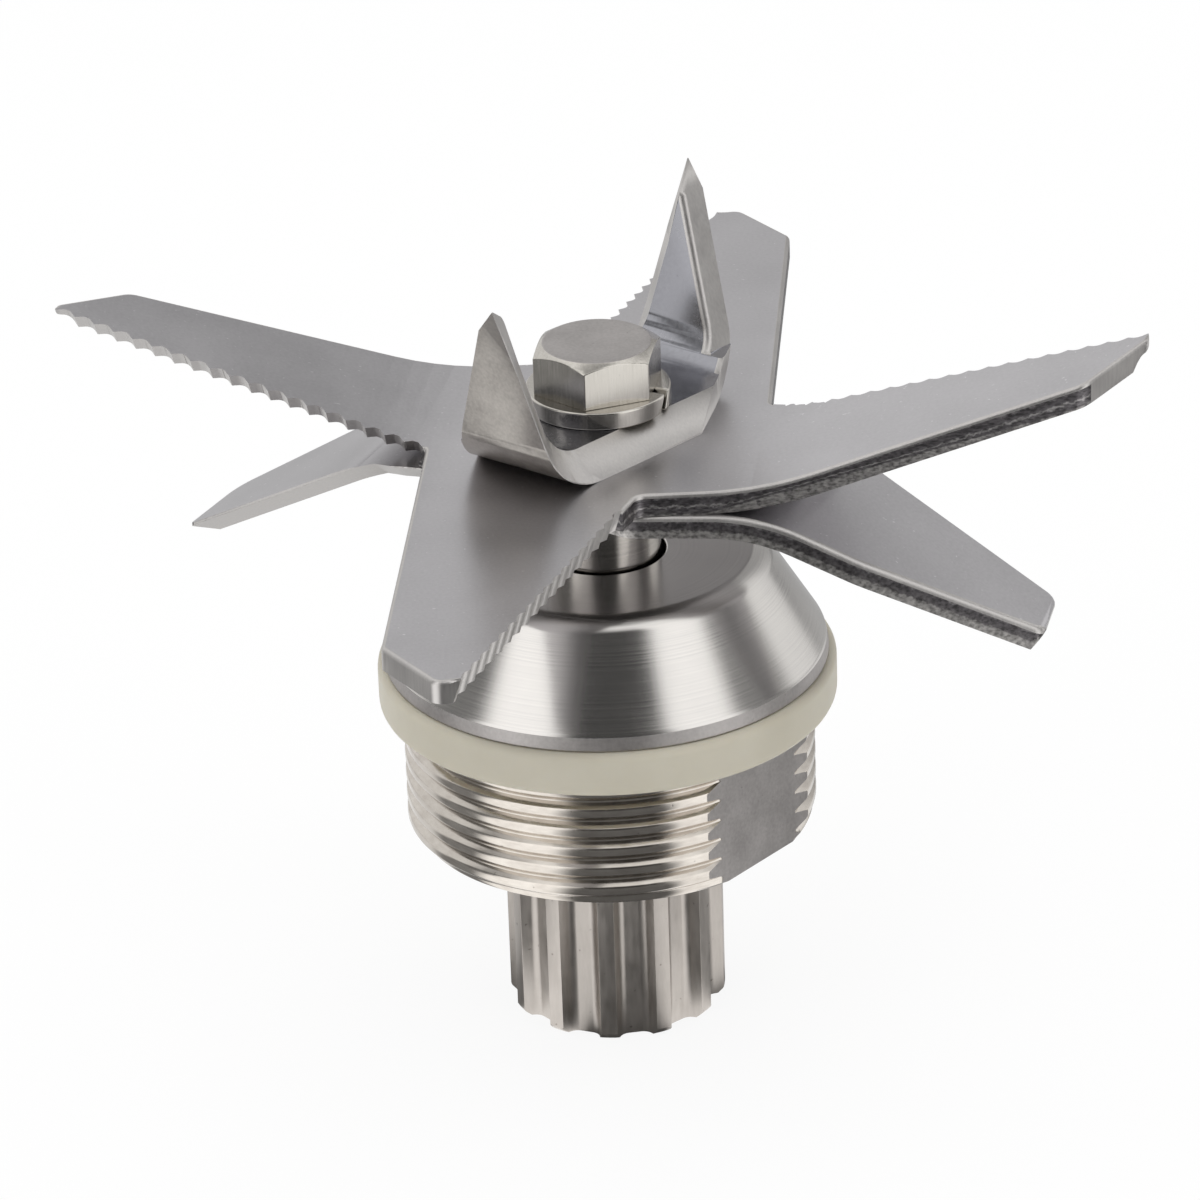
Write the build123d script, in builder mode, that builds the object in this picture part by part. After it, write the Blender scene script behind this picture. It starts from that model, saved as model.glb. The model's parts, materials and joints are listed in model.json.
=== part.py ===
"""Blender blade assembly: three stacked blades on a splined shaft, carried in a threaded steel housing."""

import os
from math import cos, hypot, radians, sin, tan

from build123d import *

# All sizes are in millimetres. The origin is the centre of the drive spline's lower face, +Z up.

# Clearances
press_gap = 0.01
running_gap = 0.03
slip_gap = 0.05
end_float = 0.3

# Drive spline
spline_length = 18.0
spline_od = 19.15
spline_teeth = 12
spline_depth = 1.3
spline_floor = 2.1
spline_mouth = 3.8
spline_lead_in = 0.6
spline_turn = -95.6
shaft_recess = 0.8

# Threaded housing
shank_length = 15.6
thread_od = 36.0
thread_relief_depth = 0.5
shank_chamfer = 0.8
flat_depth = 1.33
flats_length = 13.6
flats_turn = -41.0
flange_overhang = 1.37
rim_height = 1.4
cone_height = 8.5
cone_top_d = 28.0

# Jar gasket
gasket_overhang = 2.0
gasket_height = 4.0
gasket_slip = 0.15

# Shaft, its bushings and seal
shaft_d = 10.0
journal_step = 0.5
bushing_length = 8.5
seal_wall = 0.9
seal_height = 4.0
seal_recess = 2.2
seal_gap = 0.6
blade_gap = 7.4
seat_step = 0.5
seat_flat_depth = 1.2
seat_short = 0.4

# Hex bolt and split lock washer
bolt_d = 6.0
bolt_length = 16.0
bolt_hole_extra = 1.0
head_flats = 10.0
head_height = 4.0
head_crown_d = 9.2
head_crown_angle = 30.0
head_turn = 18.6
washer_od = 12.5
washer_t = 1.6
washer_bore_gap = 0.2
washer_split = 0.9
washer_split_turn = -24.0

# Grinding of every blade's edges
edge_land = 0.12
grind_overrun = 2.0

# Lower blade: two arms bent down, ground under their leading edges
lower_t = 2.0
lower_bend_turn = -24.0
lower_bend_at = 17.5
lower_bend_angle = 28.0
lower_bend_radius = 15.0
lower_front = (2.0, -13.8)
lower_heel = (21.0, -15.3)
lower_right_end = (37.0, -14.5)
lower_right_tip = (38.4, -9.3)
lower_left_end = (32.2, -14.7)
lower_left_tip = (36.1, -8.9)
lower_knee = (17.8, 2.0)
lower_root = (11.0, 4.2)
lower_right_rounds = (4.0, 12.0, 1.2, 1.2, 8.0, 4.0)
lower_left_rounds = (4.0, 12.0, 3.0, 0.3, 8.0, 4.0)
lower_grind = 2.4
lower_end_grind = 1.1

# Main blade: two flat arms, two arms bent up, serrations ground under four leading edges
main_t = 2.0
main_bend_turn = -9.5
main_bend_at = 15.5
main_bend_angle = 17.5
main_bend_radius = 30.0
main_notch = (-14.8, -3.0)
flat_heel = (-18.0, -40.4)
flat_nose = (-13.6, -46.9)
flat_tip = (-11.4, -46.5)
main_crotch = (2.9, -13.9)
raised_heel = (40.4, -13.1)
raised_nose = (46.3, -7.5)
raised_tip = (46.3, -6.3)
main_rounds = (1.0, 1.2, 1.2, 0.3, 1.2, 2.0, 1.2, 0.3)
serration_pitch = 1.78
serration_depth = 0.48
serration_floor = 0.5
flat_grind = 0.6
raised_grind = 2.4
flat_root_gap = 3.0
raised_root_gap = 0.3

# Upper blade: two arms standing up, ground on the inside of their leading edges
upper_t = 2.5
upper_turn = 45.0
upper_bend_at = 13.7
upper_bend_angle = 82.0
upper_bend_radius = 4.7
upper_rise = 18.0
upper_half_width = 7.6
upper_corner = 4.7
upper_heel_along = 15.25
upper_heel_across = 1.8
upper_heel_rise = 3.4
upper_knee_rise = 11.8
upper_tip_across = 5.3
upper_facet_across = 3.4
upper_facet_rise = 15.8
upper_grind = 2.2

# Levels and fits worked out from the sizes above
shank_z = spline_length + end_float
flange_z = shank_z + shank_length
gasket_z = flange_z - gasket_height
cone_z = flange_z + rim_height
housing_top_z = cone_z + cone_height
seal_z = housing_top_z - seal_recess - seal_height
upper_bushing_z = seal_z - seal_gap - bushing_length
shoulder_z = upper_bushing_z + bushing_length + end_float
lower_blade_z = housing_top_z + blade_gap
main_blade_z = lower_blade_z + lower_t
upper_blade_z = main_blade_z + main_t
washer_z = upper_blade_z + upper_t
head_z = washer_z + washer_t
seat_top_z = washer_z - seat_short
thread_relief_d = thread_od - 2 * thread_relief_depth
flange_od = thread_od + 2 * flange_overhang
gasket_od = thread_od + 2 * gasket_overhang
bore_d = shaft_d + 2 * seal_wall
journal_d = shaft_d - 2 * journal_step
seat_d = shaft_d - 2 * seat_step
seat_flats = shaft_d - 2 * seat_flat_depth
bushing_id = journal_d + 2 * running_gap
bushing_od = bore_d - 2 * press_gap
blade_reach = 2 * hypot(*flat_nose)
half_turns = (1, -1)


def add_ring(z, inner_d, outer_d, height):
    # A plain ring standing at level z
    with BuildSketch(Plane.XY.offset(z)) as ring:
        Circle(outer_d / 2)
        Circle(inner_d / 2, mode=Mode.SUBTRACT)
    extrude(ring.sketch, amount=height)


def seat_outline(gap):
    # The shaft's two-flat seat, grown by a gap all round
    Circle(seat_d / 2 + gap)
    Rectangle(2 * seat_d, seat_flats + 2 * gap, mode=Mode.INTERSECT)


def cut_seat_hole(z, thickness):
    # The two-flat hole that a blade drops over the seat with
    with BuildSketch(Plane.XY.offset(z)) as hole:
        seat_outline(slip_gap)
    extrude(hole.sketch, amount=thickness, mode=Mode.SUBTRACT)


def heading(turn):
    # Unit vector at an angle in plan
    return Vector(cos(radians(turn)), sin(radians(turn)), 0)


def half_turn(vector, sign):
    # The vector itself, or with a negative sign the same one half a turn round the shaft
    return Vector(sign * vector.X, sign * vector.Y, vector.Z)


def bent_strip(turn, z, thickness, bend_at, angle, radius, length, half_width):
    # A strip across the shaft at level z, both ends bent up by an angle, or down by a negative one
    along = heading(turn)
    side = Plane(origin=(0, 0, z + thickness / 2), x_dir=along, z_dir=(along.Y, -along.X, 0))
    far_x = bend_at + length * cos(radians(angle))
    far_z = length * sin(radians(angle))
    with BuildSketch(side) as profile:
        with BuildLine():
            FilletPolyline((-far_x, far_z), (-bend_at, 0), (bend_at, 0), (far_x, far_z), radius=radius)
        trace(line_width=thickness)
    extrude(profile.sketch, amount=half_width, both=True)


def plan_outline(arms, rounds, z):
    # Keep what lies inside an outline, made of one arm's corners and the other's half a turn round
    with BuildSketch(Plane.XY.offset(z - blade_reach)) as outline:
        with BuildLine():
            points = [(sign * x, sign * y) for sign, arm in zip(half_turns, arms) for x, y in arm]
            FilletPolyline(*points, radius=rounds, close=True)
        make_face()
    extrude(outline.sketch, amount=2 * blade_reach, mode=Mode.INTERSECT)


def bent_top(point, turn, z, thickness, bend_at, angle):
    # A plan point lifted to the top face of a strip's bent end
    distance = Vector(*point).dot(heading(turn))
    rise = (distance - bend_at) * tan(radians(angle))
    return Vector(*point, z + thickness / 2 + rise + thickness / 2 / cos(radians(angle)))


def bent_normal(turn, angle):
    # The upward normal of that top face
    return heading(turn) * -sin(radians(angle)) + Vector(0, 0, cos(radians(angle)))


def edge_frame(start, end, normal, sign):
    # X runs along a blade's edge, Y into the blade and Z out of the face that stays sharp
    run = half_turn(end - start, sign)
    return Plane(half_turn(start, sign), x_dir=run, z_dir=half_turn(normal, sign))


def grind_edge(frame, length, thickness, width):
    # A flat bevel along an edge, running out past its start
    drop = thickness - edge_land
    start = frame.origin - frame.x_dir * grind_overrun
    with BuildSketch(Plane(start, x_dir=frame.y_dir, z_dir=frame.x_dir)) as wedge:
        Polygon(
            (0, -edge_land),
            (2 * width, -edge_land - 2 * drop),
            (-width, -edge_land - 2 * drop),
            (-width, -edge_land),
            align=None,
        )
    extrude(wedge.sketch, amount=length + grind_overrun, mode=Mode.SUBTRACT)


def mitre(first, second, first_width, second_width):
    # The way from a corner to where two bevels of these widths meet, first and second being their ways in
    lean = first.dot(second)
    share = first * (first_width - lean * second_width) + second * (second_width - lean * first_width)
    return share / (1 - lean * lean)


def waste_section(point, inward, level, slope, thickness):
    # Upright section of what a grinder takes at a point of an edge, inward being the bevel's width
    drop = thickness - edge_land
    reach = inward.length
    section_plane = Plane(point + Vector(0, 0, level), x_dir=inward, z_dir=(inward.Y, -inward.X, 0))
    with BuildSketch(section_plane) as section:
        Polygon(
            (0, -edge_land),
            (2 * reach, 2 * reach * slope - edge_land - 2 * drop),
            (-reach, -reach * slope - edge_land - 2 * drop),
            (-reach, -reach * slope - edge_land),
            align=None,
        )
    return section.sketch


def grind_serrations(frame, length, thickness, width):
    # A bevel along an edge, hollowed into flutes side by side down it
    slope = frame.y_dir * width - frame.z_dir * thickness
    middle = frame.origin + frame.y_dir * edge_land + slope / 2
    outside = thickness + width
    count = round(length / serration_pitch)
    step = length / count
    flute = ((-step, 0), (-serration_floor, -serration_depth), (serration_floor, -serration_depth))
    flutes = [((i + 0.5) * step + x / 2, y) for i in range(count) for x, y in flute]
    with BuildSketch(Plane(middle, x_dir=frame.x_dir, z_dir=slope)) as grind:
        Polygon((-grind_overrun, outside), (-grind_overrun, 0), *flutes, (length, 0), (length, outside), align=None)
    extrude(grind.sketch, amount=slope.length, both=True, mode=Mode.SUBTRACT)


# Drive spline
tooth_angle = 360 / spline_teeth
spline_root = spline_od / 2 - spline_depth
groove_flare = (spline_mouth - spline_floor) / 2
with BuildPart() as drive_spline:
    with BuildSketch():
        Circle(spline_od / 2)
        with PolarLocations(spline_root, spline_teeth, start_angle=spline_turn + tooth_angle / 2):
            Polygon(
                (0, -spline_floor / 2),
                (2 * spline_depth, -spline_floor / 2 - 2 * groove_flare),
                (2 * spline_depth, spline_floor / 2 + 2 * groove_flare),
                (0, spline_floor / 2),
                align=None,
                mode=Mode.SUBTRACT,
            )
        Circle(journal_d / 2 + press_gap, mode=Mode.SUBTRACT)
    extrude(amount=spline_length)
    with BuildSketch(Plane.XZ):
        Polygon(
            (spline_od / 2 - spline_lead_in, 0),
            (spline_od / 2 + spline_lead_in, 0),
            (spline_od / 2 + spline_lead_in, 2 * spline_lead_in),
            align=None,
        )
    revolve(axis=Axis.Z, mode=Mode.SUBTRACT)
drive_spline.part.label = "drive_spline"

# Housing: turned in one piece, with a relief above its thread and two spanner flats across it
with BuildPart() as housing:
    with BuildSketch(Plane.XZ):
        with BuildLine():
            Polyline(
                (bore_d / 2, shank_z),
                (thread_od / 2 - shank_chamfer, shank_z),
                (thread_od / 2, shank_z + shank_chamfer),
                (thread_od / 2, gasket_z),
                (thread_relief_d / 2, gasket_z),
                (thread_relief_d / 2, flange_z),
                (flange_od / 2, flange_z),
                (flange_od / 2, cone_z),
                (cone_top_d / 2, housing_top_z),
                (bore_d / 2, housing_top_z),
                close=True,
            )
        make_face()
    revolve(axis=Axis.Z)
    with BuildSketch(Plane.XY.offset(shank_z)):
        Circle(thread_od)
        Rectangle(thread_od - 2 * flat_depth, 3 * thread_od, rotation=flats_turn, mode=Mode.SUBTRACT)
    extrude(amount=flats_length, mode=Mode.SUBTRACT)
housing.part.label = "housing"

# Silicone ring slipped over the thread into the relief under the flange
with BuildPart() as jar_gasket:
    add_ring(gasket_z, thread_od + 2 * gasket_slip, gasket_od, gasket_height)
jar_gasket.part.label = "jar_gasket"

# Bronze bushings pressed into the two ends of the bore
with BuildPart() as lower_bushing:
    add_ring(shank_z, bushing_id, bushing_od, bushing_length)
lower_bushing.part.label = "lower_bushing"

with BuildPart() as upper_bushing:
    add_ring(upper_bushing_z, bushing_id, bushing_od, bushing_length)
upper_bushing.part.label = "upper_bushing"

# Rubber ring seal pressed into the top of the bore
with BuildPart() as shaft_seal:
    add_ring(seal_z, shaft_d + 2 * running_gap, bushing_od, seal_height)
shaft_seal.part.label = "shaft_seal"

# Shaft: a journal with a shoulder above it, the two-flat blade seat and a tapped end
with BuildPart() as shaft:
    with BuildSketch(Plane.XY.offset(shaft_recess)):
        Circle(journal_d / 2)
    extrude(amount=shoulder_z - shaft_recess)
    with BuildSketch(Plane.XY.offset(shoulder_z)):
        Circle(shaft_d / 2)
    extrude(amount=lower_blade_z - shoulder_z)
    with BuildSketch(Plane.XY.offset(lower_blade_z)):
        seat_outline(0)
    extrude(amount=seat_top_z - lower_blade_z)
    with BuildSketch(Plane.XY.offset(seat_top_z)):
        Circle(bolt_d / 2 + slip_gap)
    extrude(amount=head_z - seat_top_z - bolt_length - bolt_hole_extra, mode=Mode.SUBTRACT)
shaft.part.label = "shaft"

# Lower blade
with BuildPart() as lower_blade:
    lower_bend = (lower_bend_turn, lower_blade_z, lower_t, lower_bend_at, -lower_bend_angle)
    bent_strip(*lower_bend, lower_bend_radius, blade_reach, blade_reach)
    lower_ends = ((lower_right_end, lower_right_tip), (lower_left_end, lower_left_tip))
    lower_arms = [(lower_front, lower_heel, *ends, lower_knee, lower_root) for ends in lower_ends]
    plan_outline(lower_arms, lower_right_rounds + lower_left_rounds, lower_blade_z)
    along = heading(lower_bend_turn)
    fall = -tan(radians(lower_bend_angle))
    root, knee = Vector(*lower_root), Vector(*lower_knee)
    for sign, ends in zip(half_turns, lower_ends):
        end, tip = [Vector(*point) for point in ends]
        end_in, edge_in, root_in = [
            Vector(start.Y - stop.Y, stop.X - start.X, 0).normalized()
            for start, stop in ((end, tip), (tip, knee), (knee, root))
        ]
        bend = knee + (tip - knee) * ((lower_bend_at - knee.dot(along)) / (tip - knee).dot(along))
        bend_line = Vector(along.Y, -along.X, 0)
        stations = (
            (end + (end - tip), end_in * lower_end_grind),
            (tip, mitre(end_in, edge_in, lower_end_grind, lower_grind)),
            (bend, bend_line * (lower_grind / bend_line.dot(edge_in))),
            (knee, mitre(edge_in, root_in, lower_grind, lower_grind)),
            (root, root_in * lower_grind),
        )
        waste = []
        for point, inward in stations:
            beyond = point.dot(along) - lower_bend_at
            slope = fall if beyond > 0 else 0
            level = lower_blade_z + lower_t + beyond * slope
            lean = slope * inward.normalized().dot(along)
            place = (half_turn(point, sign), half_turn(inward, sign))
            waste.append(waste_section(*place, level, lean, lower_t))
        loft(waste, ruled=True, mode=Mode.SUBTRACT)
    cut_seat_hole(lower_blade_z, lower_t)
lower_blade.part.label = "lower_blade"

# Main blade
with BuildPart() as main_blade:
    main_bend = (main_bend_turn, main_blade_z, main_t, main_bend_at, main_bend_angle)
    bent_strip(*main_bend, main_bend_radius, blade_reach, blade_reach)
    main_corners = (
        main_notch, flat_heel, flat_nose, flat_tip, main_crotch, raised_heel, raised_nose, raised_tip,
    )
    plan_outline(2 * (main_corners,), 2 * main_rounds, main_blade_z)
    main_top = Vector(0, 0, main_blade_z + main_t)
    raised_root = (-main_notch[0], -main_notch[1])
    main_edges = (
        (
            Vector(*flat_tip) + main_top,
            Vector(*main_crotch) + main_top,
            Vector(0, 0, 1),
            flat_root_gap,
            flat_grind,
        ),
        (
            bent_top(raised_tip, *main_bend),
            bent_top(raised_root, *main_bend),
            bent_normal(main_bend_turn, main_bend_angle),
            raised_root_gap,
            raised_grind,
        ),
    )
    for start, end, normal, root_gap, width in main_edges:
        for sign in half_turns:
            frame = edge_frame(start, end, normal, sign)
            grind_serrations(frame, (end - start).length - root_gap, main_t, width)
    cut_seat_hole(main_blade_z, main_t)
main_blade.part.label = "main_blade"

# Upper blade
with BuildPart() as upper_blade:
    along = heading(upper_turn)
    across = Vector(-along.Y, along.X, 0)
    bend = radians(upper_bend_angle)
    arm_length = upper_rise / sin(bend)
    upper_bend = (upper_turn, upper_blade_z, upper_t, upper_bend_at, upper_bend_angle)
    bent_strip(*upper_bend, upper_bend_radius, arm_length, upper_half_width)
    for side in (0, -1):
        wall = faces().sort_by(Axis((0, 0, 0), across))[side]
        hub_top = faces().filter_by(Axis.Z).sort_by(Axis.Z)[-1]
        inner_edge = hub_top.edges().sort_by(Axis((0, 0, 0), across))[side]
        chamfer(inner_edge, upper_t - edge_land, upper_grind, reference=wall)
    outside = upper_half_width + upper_t
    over = upper_rise + upper_t
    slant = (upper_half_width - upper_heel_across) / (upper_heel_along - upper_corner)
    slant_start = upper_corner - upper_t / slant
    slant_end = slant_start + 2 * outside / slant
    outer_normal = along * sin(bend) - Vector(0, 0, cos(bend))
    for sign in half_turns:
        with BuildSketch(Plane((0, 0, upper_blade_z), x_dir=along * sign, z_dir=(0, 0, 1))):
            Polygon((slant_start, -outside), (slant_end, -outside), (slant_end, outside), align=None)
        extrude(amount=over, mode=Mode.SUBTRACT)
        with BuildSketch(Plane((0, 0, upper_blade_z), x_dir=across * sign, z_dir=along * sign)):
            Polygon(
                (-outside, upper_heel_rise),
                (-upper_heel_across, upper_heel_rise),
                (upper_facet_across, upper_facet_rise),
                (upper_tip_across, upper_rise),
                (upper_half_width, upper_knee_rise),
                (outside, upper_knee_rise),
                (outside, over),
                (-outside, over),
                align=None,
            )
        extrude(amount=upper_bend_at + over, mode=Mode.SUBTRACT)
        knee, tip = [
            along * (upper_bend_at + (rise - upper_t / 2) / tan(bend) + upper_t / 2 / sin(bend))
            + across * aside
            + Vector(0, 0, upper_blade_z + rise)
            for aside, rise in ((upper_half_width, upper_knee_rise), (upper_tip_across, upper_rise))
        ]
        grind_edge(edge_frame(knee, tip, outer_normal, sign), (tip - knee).length, upper_t, upper_grind)
    cut_seat_hole(upper_blade_z, upper_t)
upper_blade.part.label = "upper_blade"

# Split lock washer, its cut on a slant
with BuildPart() as lock_washer:
    add_ring(washer_z, bolt_d + 2 * washer_bore_gap, washer_od, washer_t)
    split_out = heading(washer_split_turn)
    with BuildSketch(Plane((0, 0, washer_z), x_dir=(-split_out.Y, split_out.X, 0), z_dir=split_out)):
        Polygon(
            (-washer_split, 0),
            (0, 0),
            (washer_split, washer_t),
            (0, washer_t),
            align=None,
        )
    extrude(amount=washer_od, mode=Mode.SUBTRACT)
lock_washer.part.label = "lock_washer"

# Hex bolt with a crowned head, screwed into the shaft
with BuildPart() as hex_bolt:
    with BuildSketch(Plane.XY.offset(head_z)):
        RegularPolygon(head_flats / 2, 6, major_radius=False, rotation=head_turn)
    extrude(amount=head_height)
    crown_drop = (head_flats - head_crown_d / 2) * tan(radians(head_crown_angle))
    with BuildSketch(Plane.XZ):
        Polygon(
            (0, head_z),
            (head_flats, head_z),
            (head_flats, head_z + head_height - crown_drop),
            (head_crown_d / 2, head_z + head_height),
            (0, head_z + head_height),
            align=None,
        )
    revolve(axis=Axis.Z, mode=Mode.INTERSECT)
    with BuildSketch(Plane.XY.offset(head_z)):
        Circle(bolt_d / 2)
    extrude(amount=-bolt_length)
hex_bolt.part.label = "hex_bolt"

os.makedirs("parts", exist_ok=True)
for piece in (
    drive_spline, housing, jar_gasket, lower_bushing, upper_bushing, shaft_seal, shaft,
    lower_blade, main_blade, upper_blade, lock_washer, hex_bolt,
):
    export_step(piece.part, f"parts/{piece.part.label}.step")
    print(piece.part.label, len(piece.part.solids()), round(piece.part.volume, 1))
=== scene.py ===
import json
from math import cos, hypot, pi, radians, sin
import bmesh
import bpy
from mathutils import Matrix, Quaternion, Vector

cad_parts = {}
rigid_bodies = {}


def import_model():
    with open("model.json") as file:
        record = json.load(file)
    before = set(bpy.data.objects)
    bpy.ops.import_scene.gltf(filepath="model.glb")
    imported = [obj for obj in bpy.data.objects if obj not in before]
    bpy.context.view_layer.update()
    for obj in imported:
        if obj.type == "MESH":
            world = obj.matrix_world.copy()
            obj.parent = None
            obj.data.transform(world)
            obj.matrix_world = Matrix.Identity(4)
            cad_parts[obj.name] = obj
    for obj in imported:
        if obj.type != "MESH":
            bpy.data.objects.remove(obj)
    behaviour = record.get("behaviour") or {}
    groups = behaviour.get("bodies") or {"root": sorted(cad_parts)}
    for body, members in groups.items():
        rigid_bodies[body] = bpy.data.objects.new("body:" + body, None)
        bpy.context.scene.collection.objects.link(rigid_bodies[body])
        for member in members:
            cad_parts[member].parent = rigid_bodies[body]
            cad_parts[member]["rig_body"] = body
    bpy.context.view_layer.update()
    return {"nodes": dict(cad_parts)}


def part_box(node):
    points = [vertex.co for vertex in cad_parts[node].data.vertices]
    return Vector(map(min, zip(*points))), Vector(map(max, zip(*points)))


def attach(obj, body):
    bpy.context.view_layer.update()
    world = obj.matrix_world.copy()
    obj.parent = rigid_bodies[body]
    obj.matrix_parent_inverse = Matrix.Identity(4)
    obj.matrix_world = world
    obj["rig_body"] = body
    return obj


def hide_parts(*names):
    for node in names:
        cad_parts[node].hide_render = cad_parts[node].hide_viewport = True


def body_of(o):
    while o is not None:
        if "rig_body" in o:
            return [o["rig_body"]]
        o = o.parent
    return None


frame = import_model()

mm = 0.001
scene = bpy.context.scene
up = Vector((0, 0, 1))
hair = 1e-6              # metres within which two levels count as one
cutSlack = 1e-7          # the same for vertices on a cutting plane
noiseSpan = (0.7, 1.3)   # between these the sum of two noises mostly varies
sameFlat = radians(0.6)  # faces that turn less than this from each other become one


def linearColour(hexCode):
    # sRGB hex to the linear colour that sockets take
    channels = [int(hexCode[i:i + 2], 16) / 255 for i in (1, 3, 5)]
    return [c / 12.92 if c <= 0.04045 else ((c + 0.055) / 1.055) ** 2.4 for c in channels] + [1]


def addNode(tree, kind, settings={}, links={}):
    # settings are properties, a ramp's stops, or inputs by name or number; links feed inputs
    node = tree.nodes.new("ShaderNode" + kind)
    for key, value in settings.items():
        if key == "stops":
            for i, (place, colour) in enumerate(value):
                stop = node.color_ramp.elements[i] if i < 2 else node.color_ramp.elements.new(place)
                stop.position, stop.color = place, colour
        elif isinstance(key, int) or key in node.inputs:
            node.inputs[key].default_value = value
        else:
            setattr(node, key, value)
    for key, socket in links.items():
        tree.links.new(socket, node.inputs[key])
    return node


def startMaterial(name, sockets):
    # a new material with fixed values set on its shader
    material = bpy.data.materials.new(name)
    material.use_nodes = True
    shader = material.node_tree.nodes["Principled BSDF"]
    for key, value in sockets.items():
        shader.inputs[key].default_value = value
    return material, material.node_tree, shader


def addBump(tree, shader, depthMm, height):
    # a bump of a real depth from a height socket
    bump = addNode(tree, "Bump", {"Strength": 1.0, "Distance": depthMm * mm}, {"Height": height})
    tree.links.new(bump.outputs[0], shader.inputs["Normal"])


def addNoise(tree, sizeMm, detail, where):
    # noise with lumps of a real size
    node = addNode(tree, "TexNoise", {"Scale": 1 / (sizeMm * mm), "Detail": detail}, {"Vector": where})
    return node.outputs["Fac"]


def addRange(tree, value, span, result=(0.0, 1.0)):
    # a value within one span, spread over another
    limits = {"From Min": span[0], "From Max": span[1], "To Min": result[0], "To Max": result[1]}
    return addNode(tree, "MapRange", limits, {"Value": value}).outputs[0]


def addMath(tree, operation, first, second):
    # arithmetic on two sockets
    return addNode(tree, "Math", {"operation": operation}, {0: first, 1: second}).outputs[0]


def addTone(tree, look, share):
    # the look's dark and light colours, mixed
    colours = {"Color1": linearColour(look["dark"]), "Color2": linearColour(look["light"])}
    return addNode(tree, "MixRGB", colours, {"Fac": share}).outputs[0]


def steelFinish(name, look):
    # bare metal: a grain that is stretched along one axis, cloudy tone, specks, and a bump of grain and pits
    material, tree, shader = startMaterial(name, {"Metallic": 1.0})
    where = addNode(tree, "TexCoord").outputs["Object"]
    turned = addNode(tree, "Mapping", {"Rotation": look.get("turn", (0, 0, 0))}, {"Vector": where})
    stretch = [1 / (size * mm) for size in look["grainMm"]]
    along = addNode(tree, "Mapping", {"Scale": stretch}, {"Vector": turned.outputs[0]})
    grain = addNode(tree, "TexNoise", {"Scale": 1.0, "Detail": 3.0}, {"Vector": along.outputs[0]})
    speckBlur = 0.06   # noise between a speck's rim and its middle
    speck = addNoise(tree, look["speckMm"], 1.0, where)
    spot = addRange(tree, speck, (look["speckFrom"], look["speckFrom"] + speckBlur))
    both = addMath(tree, "ADD", grain.outputs["Fac"], addNoise(tree, look["cloudMm"], 2.0, where))
    tone = addTone(tree, look, addRange(tree, both, noiseSpan))
    spotted = addNode(
        tree, "MixRGB", {"Color2": linearColour(look["speck"])}, {"Fac": spot, "Color1": tone},
    )
    tree.links.new(spotted.outputs[0], shader.inputs["Base Color"])
    tree.links.new(addRange(tree, both, noiseSpan, look["rough"]), shader.inputs["Roughness"])
    height = addNode(
        tree, "Math", {"operation": "MULTIPLY_ADD", 1: -look["pitDepth"]},
        {0: spot, 2: grain.outputs["Fac"]},
    )
    addBump(tree, shader, look["bumpMm"], height.outputs[0])
    return material


def turnedFinish(name, look):
    # lathe-turned steel: fine rings round the axis at every radius and height
    material, tree, shader = startMaterial(name, {"Metallic": 1.0})
    where = addNode(tree, "TexCoord").outputs["Object"]
    axes = addNode(tree, "SeparateXYZ", {}, {"Vector": where})
    flat = addNode(tree, "CombineXYZ", {}, {0: axes.outputs[0], 1: axes.outputs[1]})
    radius = addNode(tree, "VectorMath", {"operation": "LENGTH"}, {0: flat.outputs[0]})
    ringAt = addMath(tree, "SUBTRACT", radius.outputs["Value"], axes.outputs[2])
    ring = addNode(
        tree, "TexNoise", {"noise_dimensions": "1D", "Scale": 1 / (look["ringMm"] * mm), "Detail": 3.0},
        {"W": ringAt},
    )
    both = addMath(tree, "ADD", ring.outputs["Fac"], addNoise(tree, look["cloudMm"], 3.0, where))
    tone = addTone(tree, look, addRange(tree, both, noiseSpan))
    tree.links.new(tone, shader.inputs["Base Color"])
    tree.links.new(addRange(tree, both, noiseSpan, look["rough"]), shader.inputs["Roughness"])
    addBump(tree, shader, look["bumpMm"], ring.outputs["Fac"])
    return material


def shearedFinish(name, look):
    # punched sheet edge: bands down the wall with a ragged border, scratched across the thickness
    material, tree, shader = startMaterial(name, {"Metallic": 1.0})
    where = addNode(tree, "TexCoord").outputs["Object"]
    depth = addNode(tree, "Attribute", {"attribute_name": "wallDepth"}).outputs["Fac"]
    tear = addNoise(tree, look["tearMm"], 4.0, where)
    stretch = [1 / (size * mm) for size in look["scratchMm"]]
    across = addNode(tree, "Mapping", {"Scale": stretch}, {"Vector": where})
    noise = addNode(tree, "TexNoise", {"Scale": 1.0, "Detail": 3.0}, {"Vector": across.outputs[0]})
    scratch = noise.outputs["Fac"]
    ragged = addNode(tree, "Math", {"operation": "MULTIPLY_ADD", 1: look["ragged"]}, {0: tear, 2: depth})
    level = addNode(tree, "Math", {"operation": "SUBTRACT", 1: look["ragged"] / 2}, {0: ragged.outputs[0]})
    stops = [(place, linearColour(colour)) for place, colour in look["bands"]]
    band = addNode(tree, "ValToRGB", {"stops": stops}, {"Fac": level.outputs[0]})
    scratchSpan, shadeSpan = (0.35, 0.65), (0.55, 1.3)   # scratches darken and lighten the bands
    shade = addRange(tree, scratch, scratchSpan, shadeSpan)
    tone = addNode(tree, "VectorMath", {"operation": "SCALE"}, {0: band.outputs[0], "Scale": shade})
    tree.links.new(tone.outputs[0], shader.inputs["Base Color"])
    tree.links.new(addRange(tree, scratch, (0.0, 1.0), look["rough"]), shader.inputs["Roughness"])
    addBump(tree, shader, look["bumpMm"], addMath(tree, "ADD", tear, scratch))
    return material


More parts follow.
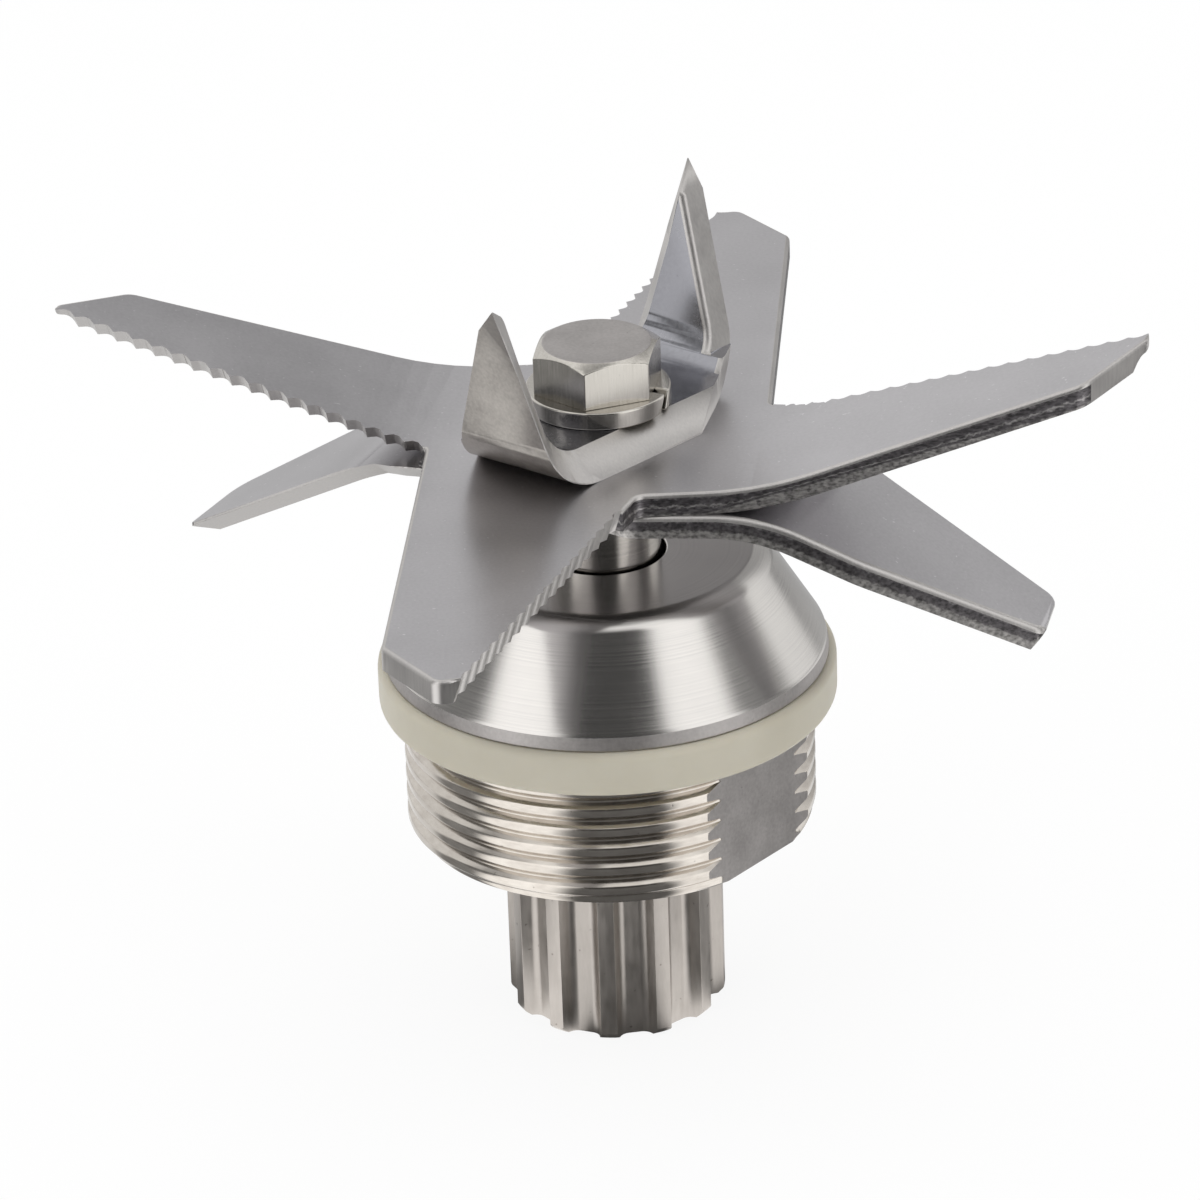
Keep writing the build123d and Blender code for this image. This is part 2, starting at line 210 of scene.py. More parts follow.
# cold-rolled stainless sheet: satin mid grey, faint cloudiness, and pale specks coarsened to show
rolledSteel = steelFinish("coldRolledStainless", {
    "dark": "#b6b4b6", "light": "#c2c0c2", "speck": "#d4d2d4", "rough": (0.28, 0.36),
    "grainMm": (0.3, 0.3, 0.3), "cloudMm": 9.0, "speckMm": 0.4, "speckFrom": 0.72,
    "pitDepth": 0.5, "bumpMm": 0.0012,
})
# punched wall of the serrated blade: dark and torn, a ragged light line half way down
tornEdge = shearedFinish("tornStainlessEdge", {
    "bands": ((0.0, "#858283"), (0.1, "#5f5c5e"), (0.42, "#6a6769"), (0.52, "#aaa7a6"), (0.62, "#6a6769"),
              (0.9, "#757273"), (1.0, "#a5a2a0")),
    "ragged": 0.5, "tearMm": 0.45, "scratchMm": (0.5, 0.5, 0.2), "rough": (0.36, 0.5), "bumpMm": 0.016,
})
# punched wall of the drooping blade: dark rough upper half, lighter smooth lower half
shearedEdge = shearedFinish("shearedStainlessEdge", {
    "bands": ((0.0, "#858283"), (0.1, "#646163"), (0.5, "#6f6c6d"), (0.6, "#a3a09e"), (1.0, "#b0adaa")),
    "ragged": 0.4, "tearMm": 0.5, "scratchMm": (0.4, 0.4, 0.3), "rough": (0.36, 0.5), "bumpMm": 0.014,
})
# wheel-ground bevels and flutes: bright, with grinding lines down the slope
groundSteel = steelFinish("wheelGroundStainless", {
    "dark": "#bab7b5", "light": "#cac7c4", "speck": "#aeaba7", "rough": (0.36, 0.46),
    "grainMm": (0.18, 0.18, 2.5), "cloudMm": 4.0, "speckMm": 0.6, "speckFrom": 0.8,
    "pitDepth": 0.3, "bumpMm": 0.003,
})
# belt-brushed sheet of the upright blade: warm, mottled, brushed along the strip
brushedSteel = steelFinish("beltBrushedStainless", {
    "dark": "#a8a39e", "light": "#c0bbb5", "speck": "#a39e98", "rough": (0.32, 0.44),
    "grainMm": (1.2, 0.3, 0.3), "turn": (0, 0, radians(-45)), "cloudMm": 3.0,
    "speckMm": 0.5, "speckFrom": 0.8, "pitDepth": 0.4, "bumpMm": 0.003,
})
# drawn inside of its bends: smooth and cool, mirrors softly
drawnSteel = steelFinish("drawnStainless", {
    "dark": "#929297", "light": "#9e9ea3", "speck": "#88888d", "rough": (0.2, 0.28),
    "grainMm": (0.4, 0.4, 0.4), "cloudMm": 6.0, "speckMm": 0.5, "speckFrom": 0.76,
    "pitDepth": 0.4, "bumpMm": 0.0015,
})
# plain stainless fastener: slightly warm, tumbled smooth
fastenerSteel = steelFinish("tumbledStainlessFastener", {
    "dark": "#b5b1aa", "light": "#c8c4bd", "speck": "#99958f", "rough": (0.16, 0.24),
    "grainMm": (0.16, 0.16, 2.0), "cloudMm": 2.5, "speckMm": 0.4, "speckFrom": 0.8,
    "pitDepth": 0.6, "bumpMm": 0.003,
})
# pressed and sized steel of the drive teeth: warm, burnished, faintly speckled
sinteredSteel = steelFinish("sinteredSteel", {
    "dark": "#aaa49e", "light": "#bdb7b1", "speck": "#8d8680", "rough": (0.36, 0.46),
    "grainMm": (0.4, 0.4, 2.0), "cloudMm": 3.0, "speckMm": 0.6, "speckFrom": 0.74,
    "pitDepth": 0.8, "bumpMm": 0.004,
})
# milled spanner flats, flange rim and bolt crown: dull, darker than the turned faces
milledSteel = steelFinish("milledStainlessFlat", {
    "dark": "#a5a19f", "light": "#b9b5b3", "speck": "#a09c9a", "rough": (0.46, 0.54),
    "grainMm": (0.3, 0.3, 0.3), "cloudMm": 3.0, "speckMm": 0.4, "speckFrom": 0.74,
    "pitDepth": 0.5, "bumpMm": 0.003,
})
# centreless-ground shaft: smooth and bright
groundShaft = turnedFinish("groundStainlessShaft", {
    "dark": "#bcb9b6", "light": "#c8c5c1", "rough": (0.14, 0.2),
    "ringMm": 0.3, "cloudMm": 4.0, "bumpMm": 0.0006,
})
# turned cone and flange: bright steel with fine rings left by the tool
turnedSteel = turnedFinish("turnedStainless", {
    "dark": "#c2bfbc", "light": "#cdcac6", "rough": (0.16, 0.22),
    "ringMm": 0.22, "cloudMm": 5.0, "bumpMm": 0.0006,
})
# thread: burnished by the jar, a little warmer
threadSteel = steelFinish("burnishedThread", {
    "dark": "#bcb5ad", "light": "#cfc9c1", "speck": "#8f8881", "rough": (0.12, 0.2),
    "grainMm": (1.2, 1.2, 0.3), "cloudMm": 2.5, "speckMm": 0.6, "speckFrom": 0.76,
    "pitDepth": 0.8, "bumpMm": 0.004,
})


def mouldedFinish(name, look, sockets):
    # a moulded or pressed surface: clouded colour and a fine grain or pores
    material, tree, shader = startMaterial(name, sockets)
    where = addNode(tree, "TexCoord").outputs["Object"]
    tone = addTone(tree, look, addNoise(tree, look["cloudMm"], 3.0, where))
    tree.links.new(tone, shader.inputs["Base Color"])
    addBump(tree, shader, look["bumpMm"], addNoise(tree, look["grainMm"], look["grainDetail"], where))
    return material


# moulded translucent silicone: ivory, satin, softly clouded
silicone = mouldedFinish("mouldedSilicone", {
    "dark": "#c0baa9", "light": "#cdc8b9",
    "cloudMm": 5.0, "grainMm": 0.4, "grainDetail": 2.0, "bumpMm": 0.006,
}, {
    "Roughness": 0.46, "IOR": 1.41, "Subsurface Weight": 0.25, "Subsurface Scale": 1.2 * mm,
    "Subsurface Radius": (1.0, 0.85, 0.6),
})
# oil-filled sintered bronze of the bushings: brown, finely pored
oiledBronze = mouldedFinish("oilSinteredBronze", {
    "dark": "#7d5c37", "light": "#a97f4e",
    "cloudMm": 0.4, "grainMm": 0.4, "grainDetail": 3.0, "bumpMm": 0.01,
}, {"Metallic": 1.0, "Roughness": 0.42})
# black nitrile of the ring seal
sealRubber = mouldedFinish("nitrileRubber", {
    "dark": "#1c1c1d", "light": "#262627",
    "cloudMm": 0.5, "grainMm": 0.5, "grainDetail": 3.0, "bumpMm": 0.01,
}, {"Roughness": 0.55, "IOR": 1.52})
print("materials made")


def cadCopy(node, mergeMm=0.001):
    # a merged copy of a CAD node, with each flat face in one piece
    bm = bmesh.new()
    bm.from_mesh(frame["nodes"][node].data)
    bmesh.ops.remove_doubles(bm, verts=bm.verts, dist=mergeMm * mm)
    bmesh.ops.dissolve_limit(bm, angle_limit=sameFlat, verts=bm.verts, edges=bm.edges)
    bm.normal_update()
    return bm


def roundEdges(bm, edges, widthMm, segments=3, clamp=True):
    # returns the faces of the rounding
    made = bmesh.ops.bevel(
        bm, geom=edges, offset=widthMm * mm, offset_type="OFFSET", affect="EDGES", segments=segments,
        profile=0.5, material=-1, clamp_overlap=clamp,
    )
    bm.normal_update()
    return made["faces"]


def foldEdges(bm, lowest, convex=True):
    # edges that turn by more than so many degrees, outward or inward
    return [
        e for e in bm.edges
        if len(e.link_faces) == 2 and e.is_convex == convex and e.calc_face_angle() > radians(lowest)
    ]


def finishPiece(bm, name, node, materials, sharpAngle=34):
    # the bmesh becomes a piece that stands for a CAD node and rides with it
    mesh = bpy.data.meshes.new(name)
    bm.to_mesh(mesh)
    bm.free()
    for material in materials:
        mesh.materials.append(material)
    mesh.polygons.foreach_set("use_smooth", [True] * len(mesh.polygons))
    mesh.set_sharp_from_angle(angle=radians(sharpAngle))
    piece = bpy.data.objects.new(name, mesh)
    scene.collection.objects.link(piece)
    normals = piece.modifiers.new("flatFacesStayFlat", "WEIGHTED_NORMAL")
    normals.keep_sharp = True
    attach(piece, body_of(frame["nodes"][node])[0])
    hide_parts(node)
    print(name, len(mesh.polygons), "faces")
    return piece


housingShape = {
    "crestRadius": 18.0, "threadPitch": 1.885, "threadDepth": 0.6, "crestFlat": 0.7, "rootFlat": 0.25,
    "crestAt": (25.35, -111.0),   # height and angle of one point on the crest
    "chamfer": 0.8, "flatReach": 16.67, "flatTurn": -41.0, "flangeBottom": 33.9, "rimTop": 35.3,
    "rimTaper": 0.2, "coneTopRadius": 14.0, "coneRound": 1.3, "rimRound": 0.25, "boreRadius": 5.9,
    "lipRadius": 5.4, "lipHeight": 1.2, "lipRound": 0.2, "threadRound": 0.14,
    "rimMargin": 0.1, "rimSlope": 0.5,   # the dull rim ends below its top, and its faces are steep
    "threadSteps": 144, "coneSteps": 180, "spareTurns": 1.5, "threadMerge": 0.02, "coneMerge": 0.0005,
}


def buildHousing(s):
    low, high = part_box("housing")
    bottom, top, flangeRadius = low.z, high.z, high.x
    pitch = s["threadPitch"]
    crest, root = s["crestRadius"], s["crestRadius"] - s["threadDepth"]
    bm = bmesh.new()

    # one pitch of the thread's outline, wound up as a right-hand helix
    flank = (pitch - s["crestFlat"] - s["rootFlat"]) / 2
    steps = s["threadSteps"]
    startTurn = radians(s["crestAt"][1])
    below = (s["crestAt"][0] * mm - bottom) / (pitch * mm) + s["spareTurns"]
    startZ = s["crestAt"][0] - pitch * (int(below) + 1)
    outline = (
        (0, root), (s["rootFlat"], root), (s["rootFlat"] + flank, crest), (pitch - flank, crest),
        (pitch, root),
    )
    start = startZ - s["rootFlat"] - flank - s["crestFlat"] / 2
    line = [
        bm.verts.new((r * cos(startTurn) * mm, r * sin(startTurn) * mm, (start + z) * mm))
        for z, r in outline
    ]
    for pair in zip(line, line[1:]):
        bm.edges.new(pair)
    bmesh.ops.bevel(
        bm, geom=line[1:4], offset=s["threadRound"] * mm, offset_type="OFFSET", affect="VERTICES",
        segments=2, profile=0.5, material=-1,
    )
    turns = int((top - bottom) / (pitch * mm)) + 2
    bmesh.ops.spin(
        bm, geom=bm.verts[:] + bm.edges[:], axis=up, cent=(0, 0, 0), dvec=(0, 0, pitch * mm / steps),
        angle=2 * pi * turns, steps=steps * turns,
    )
    bmesh.ops.remove_doubles(bm, verts=bm.verts, dist=s["threadMerge"] * mm)

    # chamfer its end, cut it to length, and close it down to the bore
    for vert in bm.verts:
        limit = (crest - s["chamfer"]) * mm + max(vert.co.z - bottom, 0)
        reach = hypot(vert.co.x, vert.co.y)
        if reach > limit:
            vert.co.xy *= limit / reach
    flangeBottom = s["flangeBottom"] * mm
    for level, side in ((bottom, -1), (flangeBottom, 1)):
        bmesh.ops.bisect_plane(
            bm, geom=bm.verts[:] + bm.edges[:] + bm.faces[:], dist=cutSlack, plane_co=(0, 0, level),
            plane_no=(0, 0, side), clear_outer=True,
        )
    rims = []
    for level in (bottom, flangeBottom):
        rim = [e for e in bm.edges if e.is_boundary and all(abs(v.co.z - level) < hair for v in e.verts)]
        ring = bmesh.ops.extrude_edge_only(bm, edges=rim)["geom"]
        for vert in ring:
            if isinstance(vert, bmesh.types.BMVert):
                vert.co.xy *= s["boreRadius"] * mm / hypot(vert.co.x, vert.co.y)
        rims += [e for e in ring if isinstance(e, bmesh.types.BMEdge)]
    bmesh.ops.bridge_loops(bm, edges=[e for e in rims if e.is_boundary])
    for face in bm.faces:
        face.material_index = 1

    # spanner flats, milled straight through the thread
    for turn in (s["flatTurn"], s["flatTurn"] + 180):
        outward = Vector((cos(radians(turn)), sin(radians(turn)), 0))
        bmesh.ops.bisect_plane(
            bm, geom=bm.verts[:] + bm.edges[:] + bm.faces[:], dist=cutSlack,
            plane_co=outward * s["flatReach"] * mm, plane_no=outward, clear_outer=True,
        )
        cut = [e for e in bm.edges if e.is_boundary]
        for face in bmesh.ops.holes_fill(bm, edges=cut, sides=0)["faces"]:
            face.material_index = 2

    # flange and cone, turned from one outline
    bore, tip, lip = s["boreRadius"] * mm, s["coneTopRadius"] * mm, s["lipRadius"] * mm
    lipBottom = top - s["lipHeight"] * mm
    rimRadius, rimTop = flangeRadius - s["rimTaper"] * mm, s["rimTop"] * mm
    profile = (
        (bore, flangeBottom), (flangeRadius, flangeBottom), (rimRadius, rimTop),
        (tip, top), (lip, top), (lip, lipBottom), (bore, lipBottom),
    )
    corners = [bm.verts.new((r, 0, z)) for r, z in profile]
    loop = [bm.edges.new((corners[i - 1], corners[i])) for i in range(len(corners))]
    bmesh.ops.spin(
        bm, geom=corners + loop, axis=up, cent=(0, 0, 0), angle=2 * pi, steps=s["coneSteps"],
        use_merge=True,
    )
    bmesh.ops.remove_doubles(bm, verts=bm.verts, dist=s["coneMerge"] * mm)
    bmesh.ops.recalc_face_normals(bm, faces=bm.faces)
    # each corner's radius and level, and its round's width and segments
    rounds = (
        (tip, top, s["coneRound"], 6), (rimRadius, rimTop, s["rimRound"], 3),
        (flangeRadius, flangeBottom, s["rimRound"], 3), (lip, top, s["lipRound"], 3),
    )
    for radius, level, width, segments in rounds:
        ringEdges = [
            e for e in bm.edges
            if all(abs(v.co.z - level) < hair for v in e.verts)
            and all(abs(hypot(v.co.x, v.co.y) - radius) < 2 * hair for v in e.verts)
            and len(e.link_faces) == 2
        ]
        roundEdges(bm, ringEdges, width, segments)
    dullTop = (s["rimTop"] - s["rimMargin"]) * mm
    for face in bm.faces:
        middle = face.calc_center_median()
        if middle.z > flangeBottom and middle.xy.length > tip:
            face.material_index = 2 if middle.z < dullTop and abs(face.normal.z) < s["rimSlope"] else 0
    return finishPiece(
        bm, "threadedHousing", "housing", (turnedSteel, threadSteel, milledSteel), 40,
    )


buildHousing(housingShape)

gasketShape = {"edgeRound": 0.7}
bm = cadCopy("jar_gasket")
roundEdges(bm, foldEdges(bm, 60), gasketShape["edgeRound"], 5)
finishPiece(bm, "jarGasket", "jar_gasket", (silicone,))

splineShape = {"floorRound": 0.45, "landRound": 0.15, "endRound": 0.5, "leastLand": 5.0}


def buildSpline(s):
    bm = cadCopy("drive_spline")
    roundEdges(bm, foldEdges(bm, 40, convex=False), s["floorRound"], 4)
    ends = [e for e in foldEdges(bm, 40) if abs(e.verts[0].co.z - e.verts[1].co.z) < hair]
    roundEdges(bm, ends, s["endRound"], 3)
    lands = [e for e in foldEdges(bm, 40) if abs(e.verts[0].co.z - e.verts[1].co.z) > s["leastLand"] * mm]
    roundEdges(bm, lands, s["landRound"], 2)
    return finishPiece(bm, "driveSpline", "drive_spline", (sinteredSteel,), 40)


buildSpline(splineShape)

shaftShape = {"edgeRound": 0.2}
bm = cadCopy("shaft")
roundEdges(bm, foldEdges(bm, 60), shaftShape["edgeRound"], 2)
finishPiece(bm, "bladeShaft", "shaft", (groundShaft,))


def wallHeight(face):
    # length of a wall's upright borders
    nearUpright = 0.9
    upright = [
        e.calc_length() for e in face.edges
        if abs(e.verts[0].co.z - e.verts[1].co.z) > nearUpright * e.calc_length()
    ]
    return max(upright, default=0)


def rollEdges(bm, edges, s):
    # the sheet's punched rim is rolled over, and the thin land of a ground edge only loses its sharpness
    thin = {
        e for e in edges
        if min(wallHeight(f) for f in e.link_faces if f.material_index != 0) < s["landHeight"] * mm
    }
    for face in {f for e in thin for f in e.link_faces if f.material_index == 1}:
        face.material_index = 2
    for face in roundEdges(bm, [e for e in edges if e not in thin], s["dieRoll"], 4, clamp=False):
        face.material_index = 2
    for face in roundEdges(bm, [e for e in thin if e.is_valid], s["landRound"], 2):
        face.material_index = 2


def markWalls(bm, wallIndex):
    # a wall's depth below the top face: 0 along its upper border, 1 along its lower one
    depth = bm.verts.layers.float.new("wallDepth")
    leastDrop = 0.3 * mm   # vertices closer in height than this lie on the same border
    for face in bm.faces:
        if face.material_index == wallIndex:
            for vert in face.verts:
                other = min(
                    (v for v in face.verts if abs(v.co.z - vert.co.z) > leastDrop),
                    key=lambda v: (v.co.xy - vert.co.xy).length, default=vert,
                )
                vert[depth] = 0 if vert.co.z > other.co.z else 1


mainShape = {
    # how much faces look up: flat sheet, the slopes of its bends, and ground flutes
    "sheetSlope": 0.9, "raisedSlope": 0.2, "groundSlope": -0.1,
    "fluteRound": 0.25, "dieRoll": 0.35, "landHeight": 0.5, "landRound": 0.05, "burr": 0.08,
    "tipReach": 43.0,   # upright faces beyond this are ground
    "tipCorner": 46.0, "cornerEdge": 0.12,   # beyond this reach, edges shorter than this stay sharp
    "fluteFrom": 22.0,   # flutes nearer the axis than this stay as cut
    "floorMatch": 0.99,  # how closely a flute's floor faces the given way
    # worn edges: the way their flutes' floors face, the way out, how far worn, and between which reaches
    "worn": (
        ((0.88, -0.38, -0.29), (0.915, -0.402, 0), 0.2, (0, 47)),
        ((-0.88, 0.38, -0.29), (-0.915, 0.402, 0), 0.4, (42, 47)),
        ((0.4, 0.58, -0.71), (0.345, 0.937, 0.058), 0.4, (0, 46.5)),
    ),
}


def buildMainBlade(s):
    # rolled faces, punched walls and ground flutes of the serrated blade
    bm = cadCopy("main_blade")
    for face in bm.faces:
        slope = face.normal.z
        reach = face.calc_center_median().xy.length
        if abs(slope) > s["sheetSlope"] or slope > s["raisedSlope"]:
            face.material_index = 0
        elif slope < s["groundSlope"] or reach > s["tipReach"] * mm:
            face.material_index = 2
        else:
            face.material_index = 1
    for facing, outward, wear, (near, far) in s["worn"]:
        floors = [
            f for f in bm.faces if f.material_index == 2 and f.normal.dot(Vector(facing)) > s["floorMatch"]
            and near * mm < f.calc_center_median().xy.length < far * mm
        ]
        worn = list({v for f in floors for v in f.verts})
        bmesh.ops.translate(bm, verts=worn, vec=Vector(outward) * wear * mm)
    bm.normal_update()
    flutes = [
        e for e in foldEdges(bm, 10, convex=False)
        if all(f.material_index == 2 for f in e.link_faces)
        and e.verts[0].co.xy.length > s["fluteFrom"] * mm
    ]
    roundEdges(bm, flutes, s["fluteRound"], 3, clamp=False)
    topEdges = [
        e for e in foldEdges(bm, 45)
        if {f.material_index for f in e.link_faces} in ({0, 1}, {0, 2})
        and max(f.normal.z for f in e.link_faces) > s["sheetSlope"]
        and min(f.normal.z for f in e.link_faces) > s["groundSlope"]
        and (e.calc_length() > s["cornerEdge"] * mm or e.verts[0].co.xy.length < s["tipCorner"] * mm)
    ]
    rollEdges(bm, topEdges, s)
    lowEdges = [
        e for e in foldEdges(bm, 45)
        if {f.material_index for f in e.link_faces} == {0, 1}
        and min(f.normal.z for f in e.link_faces) < -s["sheetSlope"]
    ]
    roundEdges(bm, lowEdges, s["burr"], 2)
    markWalls(bm, 1)
    return finishPiece(
        bm, "mainBlade", "main_blade", (rolledSteel, tornEdge, groundSteel), 30,
    )


buildMainBlade(mainShape)

lowerShape = {
    "mergeMm": 0.06, "sheetSlope": 0.82, "rimSlope": 0.8, "groundSlope": -0.1,
    "dieRoll": 0.45, "landHeight": 0.5, "landRound": 0.05, "burr": 0.08,
    "roundTip": 30.0, "leastWall": 0.7,   # left of this, walls smaller than this (square mm) stay sharp
}


def buildLowerBlade(s):
    bm = cadCopy("lower_blade", s["mergeMm"])
    for face in bm.faces:
        slope = face.normal.z
        face.material_index = 0 if abs(slope) > s["sheetSlope"] else 2 if slope < s["groundSlope"] else 1
    topEdges = [
        e for e in foldEdges(bm, 45)
        if {f.material_index for f in e.link_faces} == {0, 1}
        and max(f.normal.z for f in e.link_faces) > s["rimSlope"]
        and (e.verts[0].co.x > s["roundTip"] * mm or any(
            f.calc_area() > s["leastWall"] * mm * mm for f in e.link_faces if f.material_index == 1
        ))
    ]
    rollEdges(bm, topEdges, s)
    lowEdges = [
        e for e in foldEdges(bm, 45)
        if {f.material_index for f in e.link_faces} == {0, 1}
        and min(f.normal.z for f in e.link_faces) < -s["rimSlope"]
    ]
    roundEdges(bm, lowEdges, s["burr"], 2)
    markWalls(bm, 1)
    return finishPiece(
        bm, "lowerBlade", "lower_blade", (rolledSteel, shearedEdge, groundSteel), 30,
    )


buildLowerBlade(lowerShape)

upperShape = {
    "edgeRound": 0.12, "dieRoll": 0.5, "turn": 45.0,
    # the bend runs askew: its shift, and how that changes across and up
    "bendStart": 8.0, "skew": (1.05, 0.138, -0.099),
    # the leading edge's knee is drawn in until the edge is straight, from this far across and up
    "edgeStraight": 1.35, "kneeRise": 11.8, "rise": 18.0, "armFrom": 4,
    "sideFacing": 0.35, "upFacing": 0.5, "flatFacing": 0.95,   # ground edges, inside of the bend, flat sheet
}


def buildUpperBlade(s):
    bm = cadCopy("upper_blade")
    along = Vector((cos(radians(s["turn"])), sin(radians(s["turn"])), 0))
    across = Vector((-along.y, along.x, 0))
    foot = min(v.co.z for v in bm.verts)
    for vert in bm.verts:
        way = 1 if vert.co.dot(along) > 0 else -1
        aside, rise = vert.co.dot(across) * way / mm, (vert.co.z - foot) / mm
        if abs(vert.co.dot(along)) > s["bendStart"] * mm:
            shift = s["skew"][0] + s["skew"][1] * aside + s["skew"][2] * rise
            vert.co -= along * way * shift * mm
        if aside > s["armFrom"] and rise > s["armFrom"]:
            span = s["rise"] if rise > s["kneeRise"] else s["armFrom"]
            vert.co -= across * way * s["edgeStraight"] * (span - rise) / (span - s["kneeRise"]) * mm
    bm.normal_update()
    for face in bm.faces:
        inward = face.normal.dot(along) * face.calc_center_median().dot(along) < 0
        sideways = abs(face.normal.dot(across)) > s["sideFacing"]
        face.material_index = 1 if sideways else 2 if inward or face.normal.z > s["upFacing"] else 0
    rolled = [
        e for e in foldEdges(bm, 60)
        if {f.material_index for f in e.link_faces} == {1, 2}
        and max(f.normal.z for f in e.link_faces) < s["flatFacing"]
    ]
    for face in roundEdges(bm, rolled, s["dieRoll"], 3, clamp=False):
        face.material_index = 1
    roundEdges(bm, foldEdges(bm, 35), s["edgeRound"], 2)
    return finishPiece(
        bm, "upperBlade", "upper_blade", (brushedSteel, groundSteel, drawnSteel), 30,
    )


buildUpperBlade(upperShape)

fastenerShape = {"washerRound": 0.2, "headRound": 0.15}
bm = cadCopy("lock_washer")
roundEdges(bm, foldEdges(bm, 50), fastenerShape["washerRound"], 3)
finishPiece(bm, "lockWasher", "lock_washer", (fastenerSteel,))
bm = cadCopy("hex_bolt")
crown = max(v.co.z for v in bm.verts)
roundEdges(bm, foldEdges(bm, 18), fastenerShape["headRound"], 2)
crownFrom = crown - fastenerShape["headRound"] * mm
for face in bm.faces:
    face.material_index = 1 if min(v.co.z for v in face.verts) > crownFrom else 0
finishPiece(bm, "hexBolt", "hex_bolt", (fastenerSteel, milledSteel), 28)

insideParts = (("lower_bushing", oiledBronze), ("upper_bushing", oiledBronze), ("shaft_seal", sealRubber))
for node, material in insideParts:
    frame["nodes"][node].data.materials.clear()
    frame["nodes"][node].data.materials.append(material)
print("pieces made")


# camera of the photograph
view = {
    "place": (0, -474.79, 274.0), "target": (0, 0, 38.7), "rollDegrees": -1.958, "focalPixels": 6110.63,
    "imagePixels": 1200, "centrePixels": 605.21, "sensorMm": 36.0, "clip": (0.01, 20),
}
cameraData = bpy.data.cameras.new("photoCamera")
camera = bpy.data.objects.new("photoCamera", cameraData)
scene.collection.objects.link(camera)
place, target = Vector(view["place"]) * mm, Vector(view["target"]) * mm
camera.location = place
camera.rotation_mode = "QUATERNION"
roll = Quaternion((0, 0, 1), radians(view["rollDegrees"]))
camera.rotation_quaternion = (target - place).to_track_quat("-Z", "Y") @ roll
cameraData.sensor_width = view["sensorMm"]
cameraData.lens = view["focalPixels"] / view["imagePixels"] * view["sensorMm"]
cameraData.shift_x = -(view["centrePixels"] / view["imagePixels"] - 0.5)
cameraData.clip_start, cameraData.clip_end = view["clip"]
scene.camera = camera

# studio: pale floor, and a ring of soft boxes with dark gaps between them
studio = {
    "floorSize": 8.0, "floorShade": 0.1, "paper": "#f2f2f2",
    "floorBehind": 0.5, "fadeSpan": (0.1, 0.4),   # mirrored, the floor gets dimmer behind the part
    # light from above and straight above, and the rise between which each sets in
    "overhead": 1.3, "overheadRise": (0.72, 0.92), "zenith": 0.5, "zenithRise": (0.93, 0.98),
    "ring": (
        # degrees from the camera, anticlockwise negative, and brightness
        (-180, 0.74), (-160, 0.92), (-136, 1.0), (-130, 0.95), (-104, 0.95), (-96, 0.25), (-72, 0.2),
        (-64, 1.6), (-30, 1.6), (-20, 0.08), (26, 0.08), (34, 1.5), (64, 1.5), (73, 0.3), (98, 0.3),
        (108, 1.15), (130, 1.0), (142, 0.64), (152, 0.46), (168, 0.46), (178, 0.72),
    ),
    "lamp": {"height": 0.9, "size": 0.7, "power": 2.4},
}


def ringOfLight(tree, vector):
    # brightness by the turn round the upright axis, and the vector's rise
    axes = addNode(tree, "SeparateXYZ", {}, {"Vector": vector})
    front = addNode(tree, "Math", {"operation": "MULTIPLY", 1: -1.0}, {0: axes.outputs[1]})
    turn = addMath(tree, "ARCTAN2", axes.outputs[0], front.outputs[0])
    stops = [(degrees / 360 + 0.5, (glow, glow, glow, 1)) for degrees, glow in studio["ring"]]
    ring = addNode(tree, "ValToRGB", {"stops": stops}, {"Fac": addRange(tree, turn, (-pi, pi))})
    return ring.outputs[0], axes.outputs[2]


bpy.ops.mesh.primitive_plane_add(size=studio["floorSize"])
floor = bpy.context.object
floor.name = "studioFloor"
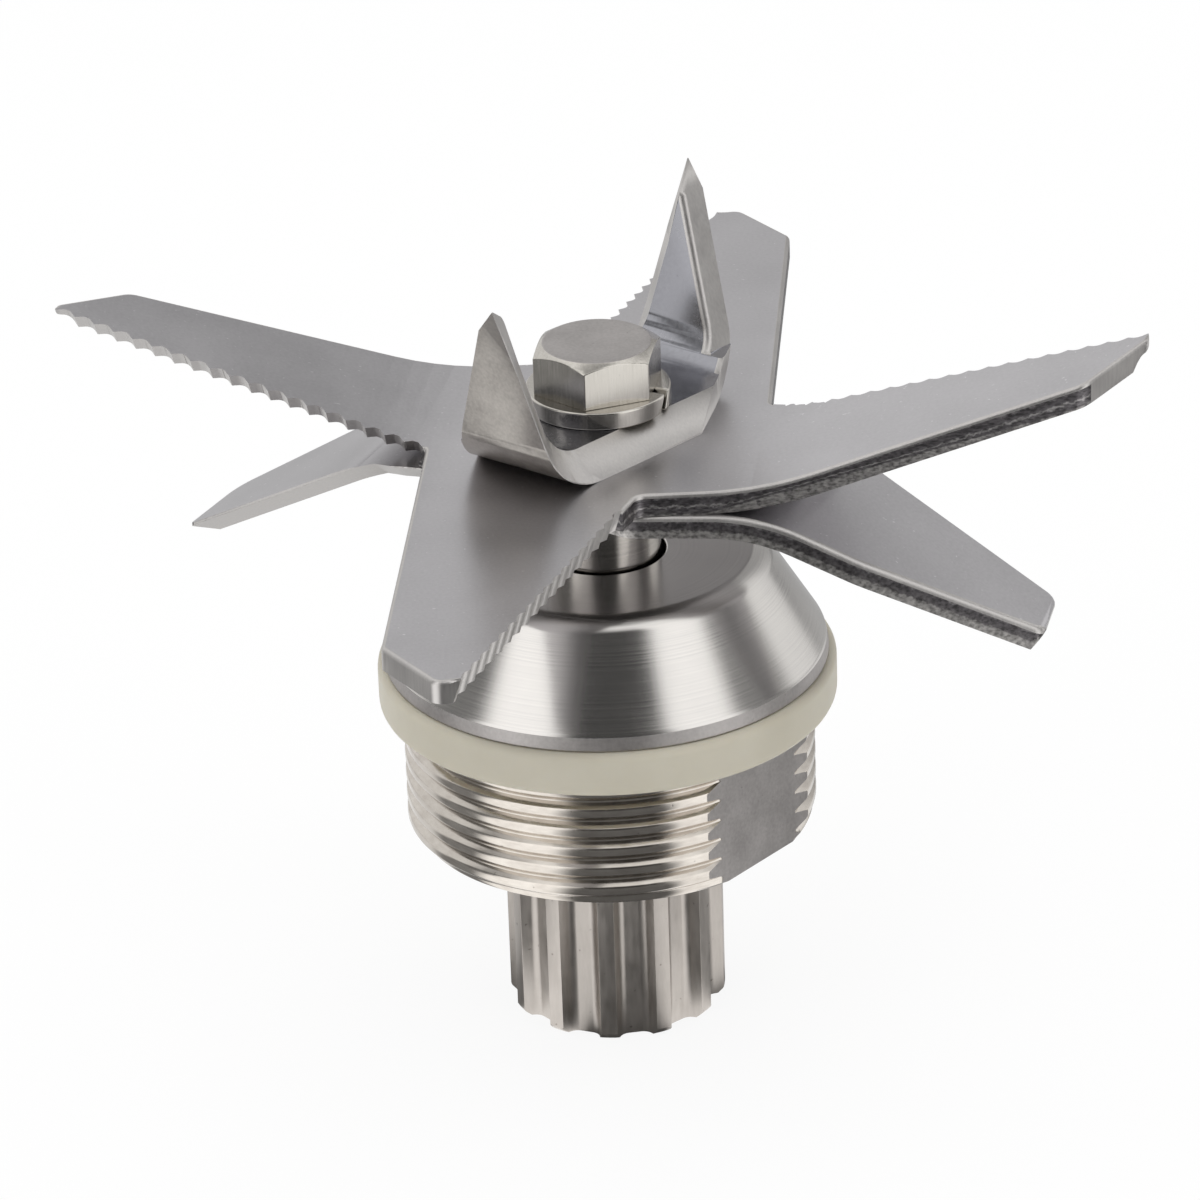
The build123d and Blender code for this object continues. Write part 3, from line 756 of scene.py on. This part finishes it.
# white paper sweep: matt, glows white to the camera, and mirrors the ring of light
paper, tree, shader = startMaterial(
    "whitePaperSweep", {"Base Color": linearColour(studio["paper"]), "Roughness": 0.9},
)
where = addNode(tree, "TexCoord").outputs["Object"]
ray = addNode(tree, "LightPath")
mirrored = addNode(
    tree, "Math", {"operation": "ADD", "use_clamp": True},
    {0: ray.outputs["Is Glossy Ray"], 1: ray.outputs["Is Transmission Ray"]},
)
ring, _ = ringOfLight(tree, where)
depth = addNode(tree, "SeparateXYZ", {}, {"Vector": where})
fade = addRange(tree, depth.outputs[1], studio["fadeSpan"], (1.0, studio["floorBehind"]))
dimmed = addNode(tree, "VectorMath", {"operation": "SCALE"}, {0: ring, "Scale": fade})
shownColour = addNode(
    tree, "MixRGB", {"Color1": (1, 1, 1, 1)}, {"Fac": mirrored.outputs[0], "Color2": dimmed.outputs[0]},
)
glow = addNode(tree, "Emission", {"Strength": 1.0}, {"Color": shownColour.outputs[0]})
shown = addNode(
    tree, "Math", {"operation": "ADD", "use_clamp": True},
    {0: mirrored.outputs[0], 1: ray.outputs["Is Camera Ray"]},
)
share = addNode(tree, "Math", {"operation": "MULTIPLY", 1: 1 - studio["floorShade"]}, {0: shown.outputs[0]})
mixed = addNode(tree, "MixShader", {}, {0: share.outputs[0], 1: shader.outputs[0], 2: glow.outputs[0]})
tree.links.new(mixed.outputs[0], tree.nodes["Material Output"].inputs["Surface"])
floor.data.materials.append(paper)

world = bpy.data.worlds.new("softStudio")
scene.world = world
world.use_nodes = True
tree = world.node_tree
ring, rise = ringOfLight(tree, addNode(tree, "TexCoord").outputs["Generated"])
sky = ring
# straight above it is dimmer, so that flat sheet seen from the top stays grey
for name in ("overhead", "zenith"):
    share = addRange(tree, rise, studio[name + "Rise"])
    above = addNode(tree, "MixRGB", {"Color2": [studio[name]] * 3 + [1]}, {"Fac": share, "Color1": sky})
    sky = above.outputs[0]
tree.links.new(sky, tree.nodes["Background"].inputs["Color"])
tree.nodes["Background"].inputs["Strength"].default_value = 1.0

lampShape = studio["lamp"]
lamp = bpy.data.lights.new("overheadSoftBox", "AREA")
lamp.size, lamp.energy = lampShape["size"], lampShape["power"]
box = bpy.data.objects.new("overheadSoftBox", lamp)
scene.collection.objects.link(box)
box.location = (0, 0, lampShape["height"])
box.visible_glossy = False   # steel mirrors the ring, not the box

scene.view_settings.view_transform = "Standard"
print("camera and light set")
